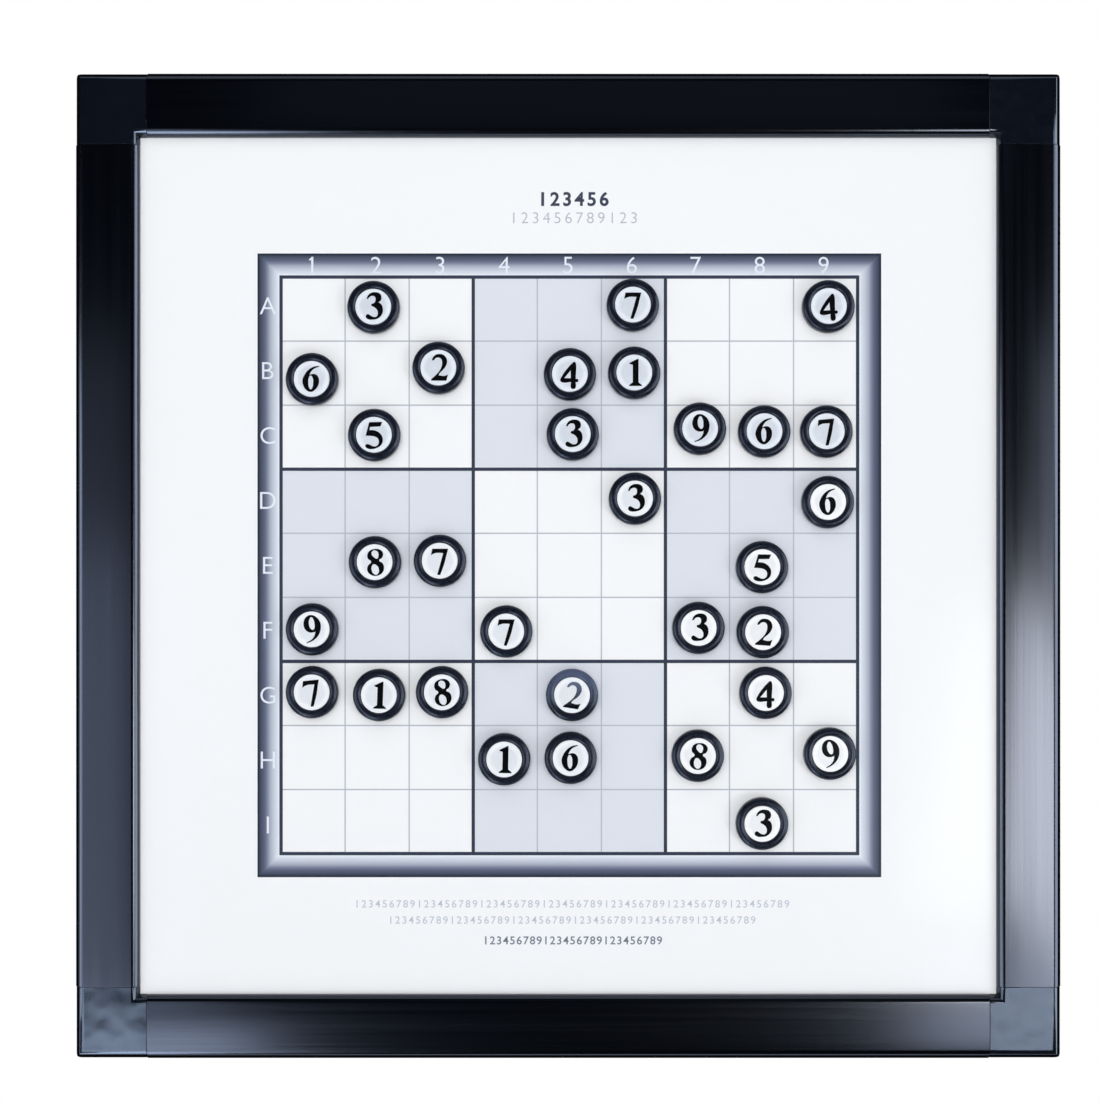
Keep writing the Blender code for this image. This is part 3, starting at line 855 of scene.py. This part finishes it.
# The piece with painted glare, and how far below and above its middle the glare runs
GLARE_CELL = "g5"
GLARE_MIDDLE = sum(corner.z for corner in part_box("piece_g5_number_2")) / 2
GLARE_BELOW = 8 * MM
GLARE_ABOVE = 14 * MM

# The turn of each piece as it lies, in degrees clockwise
TURNS = {
    "g2": 2, "h4": 1, "f8": 4, "g5": 9, "c5": -1, "d6": -3, "i8": 2, "a9": -4, "e8": 2, "c8": -2,
    "d9": -4, "h5": -2, "c9": -5, "g1": -6, "e2": -9, "g3": -12, "f1": -3, "h9": -7,
}

# Each numeral's outlines in mm from its disc's middle. A third value marks a sharp corner.
NUMERALS = {
    "1": [[(3.0, 9.6, 1), (3.0, -7.0, 1), (5.4, -8.9, 1), (5.4, -9.6, 1), (-3.7, -9.6, 1), (-3.7, -8.9, 1),
           (-1.1, -7.0, 1), (-1.1, 5.4, 1), (-3.3, 6.0, 1), (-3.4, 6.8, 1), (2.2, 9.6, 1)]],
    "2": [[(-4.5, 5.2, 1), (-3.9, 6.9), (-2.2, 8.8), (0.6, 9.6), (4.0, 8.7), (6.2, 5.1), (5.6, 1.5),
           (3.6, -1.4), (0.9, -4.1), (0.3, -5.5, 1), (4.6, -5.9), (6.9, -4.9, 1), (5.7, -9.3, 1),
           (-5.0, -9.3, 1), (-5.2, -8.5, 1), (-2.2, -5.7), (0.9, -2.2), (2.3, 0.7), (2.7, 3.5),
           (2.2, 5.8), (0.4, 7.0), (-1.6, 6.7), (-3.0, 5.3), (-3.7, 4.9, 1)]],
    "3": [[(-4.7, 5.7, 1), (-3.4, 8.3), (-1.0, 9.9), (1.8, 10.2), (4.6, 9.3), (5.9, 6.9), (5.4, 4.5),
           (3.8, 3.1, 1), (5.8, 1.6), (6.9, -1.7), (6.2, -5.5), (3.4, -8.3), (-0.4, -9.2), (-3.6, -8.9),
           (-5.2, -7.5), (-4.9, -5.9), (-3.6, -5.3), (-2.0, -6.2), (0.4, -7.3), (2.4, -6.9), (3.3, -4.7),
           (2.6, -2.1), (0.6, -0.3), (-1.2, 0.6), (-1.4, 1.6), (0.8, 2.7), (1.7, 5.1), (1.2, 6.9),
           (-0.4, 7.6), (-2.4, 6.9), (-3.7, 5.3, 1)]],
    "4": [[(2.1, 8.0), (3.2, 8.5), (4.1, 7.7), (4.1, -3.6, 1), (5.4, -3.6), (6.0, -4.7), (5.4, -5.8),
           (4.1, -5.8, 1), (4.0, -9.8), (3.3, -10.5), (1.2, -10.5), (0.7, -9.8), (0.7, -5.8, 1),
           (-6.0, -5.8), (-6.8, -4.8), (-6.3, -2.7)],
          [(0.5, 2.4, 1), (0.6, -3.1, 1), (-4.0, -3.0, 1)]],
    "5": [[(-3.3, 8.9, 1), (5.9, 9.1, 1), (4.6, 5.9, 1), (-2.7, 5.5, 1), (-3.1, 3.3, 1), (0.5, 3.1),
           (3.7, 1.5), (5.9, -1.3), (6.3, -4.3), (5.1, -7.3), (2.0, -9.4), (-1.5, -10.2), (-4.5, -9.7),
           (-6.1, -8.2), (-5.7, -7.0), (-4.3, -6.6), (-2.5, -7.3), (-0.3, -8.2), (1.9, -7.9),
           (3.4, -5.8), (2.9, -2.8), (1.1, -1.5), (-1.5, -0.9), (-5.9, -0.7, 1)]],
    "6": [[(5.5, 9.2, 1), (1.9, 8.7), (-2.1, 6.5), (-5.1, 2.7), (-6.5, -1.2), (-5.7, -5.2), (-3.7, -8.0),
           (-0.8, -9.3), (1.8, -8.3), (4.4, -5.2), (5.3, -1.4), (4.5, 1.7), (2.5, 3.3), (0.3, 3.4),
           (-1.5, 2.8, 1), (-0.1, 5.4), (2.1, 7.3), (5.4, 8.6, 1)],
          [(-0.6, 2.3), (0.8, 0.6), (1.1, -2.8), (0.6, -6.0), (-0.6, -7.4), (-1.8, -6.0), (-2.3, -2.8),
           (-2.0, 0.6)]],
    "7": [[(-5.3, 8.5, 1), (6.0, 8.5, 1), (4.9, 4.3), (3.4, -1.7), (0.4, -10.1, 1), (-1.8, -10.0, 1),
           (2.5, 5.4, 1), (-2.0, 5.5), (-4.4, 4.9), (-6.2, 3.8, 1)]],
    "8": [[(1.3, 9.2), (5.2, 8.1), (6.9, 5.0), (5.6, 2.2), (3.4, 0.7), (5.4, -1.5), (6.0, -4.8),
           (4.2, -8.3), (0.2, -9.8), (-4.0, -8.5), (-6.0, -5.0), (-4.9, -1.6), (-2.4, 0.6), (-4.2, 3.0),
           (-4.3, 5.8), (-2.6, 8.2)],
          [(1.3, 8.2), (3.4, 6.6), (3.3, 3.6), (2.2, 2.2), (0.0, 3.6), (-1.2, 6.0), (-0.4, 7.8)],
          [(-1.0, -1.4), (1.2, -2.6), (2.2, -5.4), (1.5, -8.0), (0.0, -9.0), (-2.0, -8.0), (-2.9, -5.4),
           (-2.4, -2.6)]],
    "9": [[(-0.2, 10.2), (3.9, 8.4), (6.3, 4.6), (6.6, 0.8), (5.2, -3.6), (2.2, -7.0), (-1.0, -8.8),
           (-4.1, -9.7, 1), (-4.0, -9.0, 1), (-1.0, -7.6), (1.4, -5.2), (2.6, -1.8, 1), (0.8, -2.2),
           (-1.2, -2.2), (-3.8, -0.8), (-5.4, 2.2), (-5.3, 5.6), (-3.6, 8.8)],
          [(0.2, 8.6), (1.7, 6.8), (2.3, 3.2), (2.0, 0.6), (0.9, -0.4), (-0.8, 0.8), (-1.7, 3.8),
           (-1.2, 7.2)]],
}


def ring_bmesh():
    """The black cup with its rounded rim, recess and magnet pocket."""
    wall = DISC_RADIUS + LOOSE
    pocket = MAGNET_RADIUS + LOOSE
    bm = bmesh.new()
    turned(bm, [
        (0, MAGNET_BACK + LOOSE), (pocket, MAGNET_BACK + LOOSE), (pocket, RING_FOOT),
        (RING_RADIUS, RING_FOOT, RING_FOOT_ROUND), (RING_RADIUS, RING_HEIGHT, RIM_OUTER_ROUND),
        (wall, RING_HEIGHT, RIM_INNER_ROUND), (wall, DISC_BACK - LOOSE), (0, DISC_BACK - LOOSE),
    ], PIECE_SIDES)
    return bm


def disc_bmesh():
    """The number disc, with a fine round along its front edge and its paler rim marked."""
    bm = bmesh.new()
    turned(bm, [(0, DISC_BACK), (DISC_RADIUS, DISC_BACK), (DISC_RADIUS, DISC_FACE, DISC_EDGE),
                (RIM_START, DISC_FACE), (DISC_MIDDLE, DISC_FACE), (0, DISC_FACE)], PIECE_SIDES)
    rim = bm.verts.layers.float.new("rim")
    for vert in bm.verts:
        vert[rim] = float(math.hypot(vert.co.x, vert.co.z) > (RIM_START + DISC_MIDDLE) / 2)
    return bm


def magnet_bmesh():
    """The round ferrite magnet, its face proud of the cup."""
    bm = bmesh.new()
    turned(bm, [(0, 0), (MAGNET_RADIUS, 0, MAGNET_EDGE), (MAGNET_RADIUS, MAGNET_BACK),
                (0, MAGNET_BACK)], PIECE_SIDES)
    return bm


def numeral_mesh(number):
    """A numeral's ink, standing in the plane of its disc."""
    curve = bpy.data.curves.new(f"numeral_{number}", "CURVE")
    curve.dimensions = "2D"
    curve.fill_mode = "BOTH"
    curve.resolution_u = 5
    curve.extrude = INK / 2
    for outline in NUMERALS[number]:
        spline = curve.splines.new("BEZIER")
        spline.use_cyclic_u = True
        spline.bezier_points.add(len(outline) - 1)
        for point, (x, y, *corner) in zip(spline.bezier_points, outline):
            point.co = (x * MM, y * MM, 0)
            point.handle_left_type = point.handle_right_type = "VECTOR" if corner else "AUTO"
    holder = bpy.data.objects.new(curve.name, curve)
    bpy.context.collection.objects.link(holder)
    bpy.context.view_layer.update()
    graph = bpy.context.evaluated_depsgraph_get()
    mesh = bpy.data.meshes.new_from_object(holder.evaluated_get(graph))
    bpy.data.objects.remove(holder, do_unlink=True)
    standing = Matrix.Rotation(math.radians(90), 4, "X")
    mesh.transform(Matrix.Translation((0, -DISC_FACE - INK, 0)) @ standing)
    return mesh


def paint_glare_upwards(tree, shader, low_colour, high_colour):
    """Painted glare: takes the piece's colour to a lighter one towards its top."""
    place = add_node(tree, "ShaderNodeTexCoord")
    axes = add_node(tree, "ShaderNodeSeparateXYZ", {"Vector": place.outputs["Object"]})
    share = add_node(tree, "ShaderNodeMapRange", {
        "Value": axes.outputs["Z"], "From Min": GLARE_MIDDLE - GLARE_BELOW,
        "From Max": GLARE_MIDDLE + GLARE_ABOVE,
    })
    blend_colours(tree, shader, share.outputs["Result"], low_colour, high_colour)


def handled_abs(name, colour, glare_colour=None):
    """Moulded black ABS dulled by much handling, with fine scuffs, and painted glare towards its top if a
    glare colour is given.
    """
    material, tree, shader = new_finish(name, {
        "Base Color": linear(colour), "IOR": 1.54, "Specular IOR Level": 0.28,
        "Specular Tint": linear("#dce8ff"),
    })
    if glare_colour:
        paint_glare_upwards(tree, shader, colour, glare_colour)
    vary_gloss(tree, shader, 3 * MM, 5.0, 0.24, 0.38)
    return material


def disc_styrene(name, middle, edge):
    """White polystyrene: a cool pale disc with a soft gloss, cloudy and paler towards its rim."""
    material, tree, shader = new_finish(name, {
        "IOR": 1.59, "Roughness": 0.3, "Specular IOR Level": 0.3,
    })
    place = add_node(tree, "ShaderNodeTexCoord")
    clouds = add_node(tree, "ShaderNodeTexNoise", {
        "Vector": place.outputs["Object"], "Scale": 1 / (7 * MM), "Detail": 3.0,
    })
    rim = add_node(tree, "ShaderNodeAttribute", attribute_name="rim")
    cloudy = add_node(tree, "ShaderNodeMapRange", {
        "Value": clouds.outputs["Fac"], "From Min": 0.35, "From Max": 0.65,
        "To Min": -0.2, "To Max": 0.2,
    })
    share = add_node(tree, "ShaderNodeMath", {0: rim.outputs["Fac"], 1: cloudy.outputs["Result"]},
                     operation="ADD", use_clamp=True)
    blend_colours(tree, shader, share.outputs["Value"], middle, edge)
    return material


def ferrite():
    """Sintered ferrite: charcoal grey, matt and slightly pitted."""
    material, tree, shader = new_finish("sintered_ferrite", {
        "Base Color": linear("#2b2c2f"), "Roughness": 0.6,
    })
    place = add_node(tree, "ShaderNodeTexCoord")
    pits = add_node(tree, "ShaderNodeTexNoise", {
        "Vector": place.outputs["Object"], "Scale": 1 / (0.6 * MM), "Detail": 3.0,
    })
    add_relief(tree, shader, pits.outputs["Fac"], 0.5, 0.05 * MM)
    return material


ring_finish = handled_abs("handled_abs_black", "#0b0f1c")
# The g5 ring carries painted glare, lighter towards its top.
glare_ring = handled_abs("handled_abs_painted_glare", "#0b0f1c", "#48526c")
disc_finishes = [
    disc_styrene("disc_polystyrene_grey", "#ced5e0", "#e3eaf3"),
    disc_styrene("disc_polystyrene_pale", "#dce1e8", "#eef2f7"),
    disc_styrene("disc_polystyrene_white", "#e6e9ee", "#f5f7fa"),
]
magnet_finish = ferrite()
numeral_ink = screen_ink("pad_print_black", "#07080b")
# The g5 numeral's ink is painted lighter towards its top, a painted glare.
glare_ink = screen_ink("pad_print_painted_glare", "#07080b")
paint_glare_upwards(glare_ink.node_tree, glare_ink.node_tree.nodes["Principled BSDF"], "#07080b", "#6a7590")
plain_ring = closed_mesh(ring_bmesh(), "ring")
plain_disc = closed_mesh(disc_bmesh(), "disc")
plain_magnet = closed_mesh(magnet_bmesh(), "magnet")
plain_numerals = {number: numeral_mesh(number) for number in NUMBERS}
for node in [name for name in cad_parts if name.startswith("piece_")]:
    cell = node.split("_")[1]
    number = node[-1]
    low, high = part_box(node)
    place = Matrix.Translation(((low.x + high.x) / 2, high.y, (low.z + high.z) / 2))
    place = place @ Matrix.Rotation(math.radians(TURNS.get(cell, 0)), 4, "Y")
    glared = cell == GLARE_CELL
    whiteness = 0 if cell[0] in "abc" else 2 if cell[1] in "789" else 1
    parts = [("ring", plain_ring, glare_ring if glared else ring_finish, (node,)),
             ("disc", plain_disc, disc_finishes[whiteness], ()),
             ("magnet", plain_magnet, magnet_finish, ()),
             ("numeral", plain_numerals[number], glare_ink if glared else numeral_ink, ())]
    for name, plain, material, stands_for in parts:
        mesh = plain.copy()
        mesh.transform(place)
        add_piece(f"{name}_{cell}", mesh, material, f"piece_{cell}", stands_for,
                  smooth=name != "numeral")


# The studio: the camera stands a metre and a half in front of the board, a little below its middle.
# The softboxes show only as reflections in the frame and the pieces, the four fills only light the
# matt surfaces, and a pale floor lies below the picture.
CAMERA_DISTANCE = 1500 * MM
CAMERA_BELOW = 30 * MM
SENSOR = 36
VIEW_WIDTH = 779 * MM
VIEW_RIGHT = -12.9 * MM
VIEW_UP = 11.1 * MM
LAMP_WATTS = 4
FLOOR_BELOW = 900 * MM
FLOOR_RADIUS = 2500 * MM
FLOOR_SIDES = 96
WORLD_LIGHT = 0.37
WHITE = (1, 1, 1, 1)
DARK_ROOM = (0.012, 0.02, 0.035, 1)

camera = bpy.data.cameras.new("camera")
camera.sensor_width = SENSOR
camera.lens = SENSOR * CAMERA_DISTANCE / VIEW_WIDTH
camera.shift_x = VIEW_RIGHT / VIEW_WIDTH
camera.shift_y = (VIEW_UP + CAMERA_BELOW) / VIEW_WIDTH
camera_object = bpy.data.objects.new("camera", camera)
camera_object.location = BOARD_CENTRE + Vector((0, -FRAME_DEPTH - CAMERA_DISTANCE, -CAMERA_BELOW))
camera_object.rotation_euler = (math.radians(90), 0, 0)
bpy.context.collection.objects.link(camera_object)
bpy.context.scene.camera = camera_object


def softbox(name, middle, size, radiance, colour, turn=(0, 0, 0), lights=False, shows=True):
    """A rectangular lamp, placed in metres from the board's front. A radiance of 1 shows white."""
    lamp = bpy.data.lights.new(name, "AREA")
    lamp.shape = "RECTANGLE"
    lamp.size, lamp.size_y = size
    lamp.color = linear(colour)[:3]
    lamp.energy = radiance * LAMP_WATTS * size[0] * size[1]
    holder = bpy.data.objects.new(name, lamp)
    holder.location = BOARD_CENTRE + Vector((0, -FRAME_DEPTH, 0)) + Vector(middle)
    holder.rotation_euler = [math.radians(angle) for angle in turn]
    holder.visible_diffuse = lights
    holder.visible_glossy = shows
    bpy.context.collection.objects.link(holder)


AHEAD = (90, 0, 0)
softbox("softbox_low_right", (0.878, -1.5, -0.303), (0.72, 0.45), 9.5, "#fffdf8", (90, 11.4, 0))
softbox("softbox_low_right_dim", (0.87, -1.5, -0.64), (0.74, 0.24), 4.2, "#eef5ff", AHEAD)
softbox("softbox_right_edge", (1.13, -1.5, 0.13), (0.86, 0.42), 1.3, "#eef5ff", AHEAD)
softbox("softbox_right_high", (1.6, -1.5, 0.5), (0.7, 0.6), 3.0, "#eef5ff", AHEAD)
softbox("softbox_left", (-1.0, -1.5, -0.25), (0.96, 0.6), 1.42, "#e0ebff", AHEAD)
softbox("softbox_left_edge", (-1.0, -1.5, 0.2), (0.96, 0.3), 0.4, "#e0ebff", AHEAD)
softbox("softbox_far_left", (-1.95, -1.45, -0.32), (1.5, 1.36), 3.2, "#e6f0ff", (90, 0, -90))
softbox("softbox_low_left", (-0.925, -1.5, -0.97), (0.95, 0.73), 4.4, "#e6f0ff", AHEAD)
softbox("softbox_far_low", (-1.05, -1.45, -1.95), (0.9, 1.5), 8.5, "#e6f0ff", (180, 0, 0))
softbox("softbox_high", (0.05, -1.5, 0.8), (1.0, 0.5), 0.09, "#e0ebff", AHEAD)
softbox("softbox_high_left", (-0.2, -1.5, 0.8), (0.3, 0.5), 0.07, "#e0ebff", AHEAD)
softbox("softbox_right_side", (1.9, -0.72, 0), (1.4, 2.0), 5.0, "#eef5ff", (90, 0, 90))
softbox("softbox_left_side", (-1.9, -0.72, -0.32), (1.4, 1.36), 1.3, "#eef5ff", (90, 0, -90))
softbox("softbox_above", (0, -0.65, 1.8), (2.4, 1.1), 0.8, "#eef5ff")
softbox("softbox_below", (0, -0.17, -1.2), (1.6, 0.3), 1.6, "#eef5ff", (180, 0, 0))
softbox("fill_front", (-0.2, -2.6, 0.35), (1.8, 1.4), 2.95, "#ffffff", AHEAD, True, False)
softbox("fill_overhead", (0, -1.2, 1.5), (1.6, 0.7), 1.0, "#ffffff", (39, 0, 0), True, False)
softbox("fill_low_right", (1.9, -1.8, -1.4), (1.2, 1.2), 6.0, "#ffffff", (90, 30, 46), True, False)
softbox("fill_low_left", (-1.9, -1.8, -1.4), (1.2, 1.2), 2.0, "#ffffff", (90, -30, -46), True, False)

world = bpy.data.worlds.new("studio")
bpy.context.scene.world = world
world.use_nodes = True
tree = world.node_tree
tree.nodes.clear()
light_path = add_node(tree, "ShaderNodeLightPath")
direction = add_node(tree, "ShaderNodeTexCoord")
axes = add_node(tree, "ShaderNodeSeparateXYZ", {"Vector": direction.outputs["Generated"]})
behind = add_node(tree, "ShaderNodeMapRange", {
    "Value": axes.outputs["Y"], "From Min": 0.3, "From Max": 0.8,
}, interpolation_type="SMOOTHSTEP")
studio = add_node(tree, "ShaderNodeMix", {
    "Factor": behind.outputs["Result"], "A": DARK_ROOM, "B": WHITE,
}, data_type="RGBA")
plain_light = add_node(tree, "ShaderNodeBackground", {"Color": WHITE, "Strength": WORLD_LIGHT})
mirrored = add_node(tree, "ShaderNodeBackground", {"Color": studio.outputs["Result"]})
backdrop = add_node(tree, "ShaderNodeBackground", {"Color": WHITE})
seen_or_mirrored = add_node(tree, "ShaderNodeMixShader", {
    "Fac": light_path.outputs["Is Glossy Ray"], 1: plain_light.outputs["Background"],
    2: mirrored.outputs["Background"],
})
seen = add_node(tree, "ShaderNodeMath", {
    0: light_path.outputs["Is Camera Ray"], 1: light_path.outputs["Is Transmission Ray"],
}, operation="MAXIMUM")
whole = add_node(tree, "ShaderNodeMixShader", {
    "Fac": seen.outputs["Value"], 1: seen_or_mirrored.outputs["Shader"],
    2: backdrop.outputs["Background"],
})
add_node(tree, "ShaderNodeOutputWorld", {"Surface": whole.outputs["Shader"]})

floor_bm = bmesh.new()
bmesh.ops.create_circle(floor_bm, cap_ends=True, radius=FLOOR_RADIUS, segments=FLOOR_SIDES,
                        matrix=Matrix.Translation((0, 0, BOTTOM_EDGE - FLOOR_BELOW)))
floor_mesh = bpy.data.meshes.new("floor")
floor_bm.to_mesh(floor_mesh)
floor_bm.free()
floor_material, floor_tree, floor_shader = new_finish("pale_floor", {
    "Base Color": linear("#eef0f2"), "Roughness": 0.8,
})
floor_mesh.materials.append(floor_material)
floor = bpy.data.objects.new("floor", floor_mesh)
bpy.context.collection.objects.link(floor)
floor.visible_glossy = False

bpy.context.scene.view_settings.view_transform = "Standard"
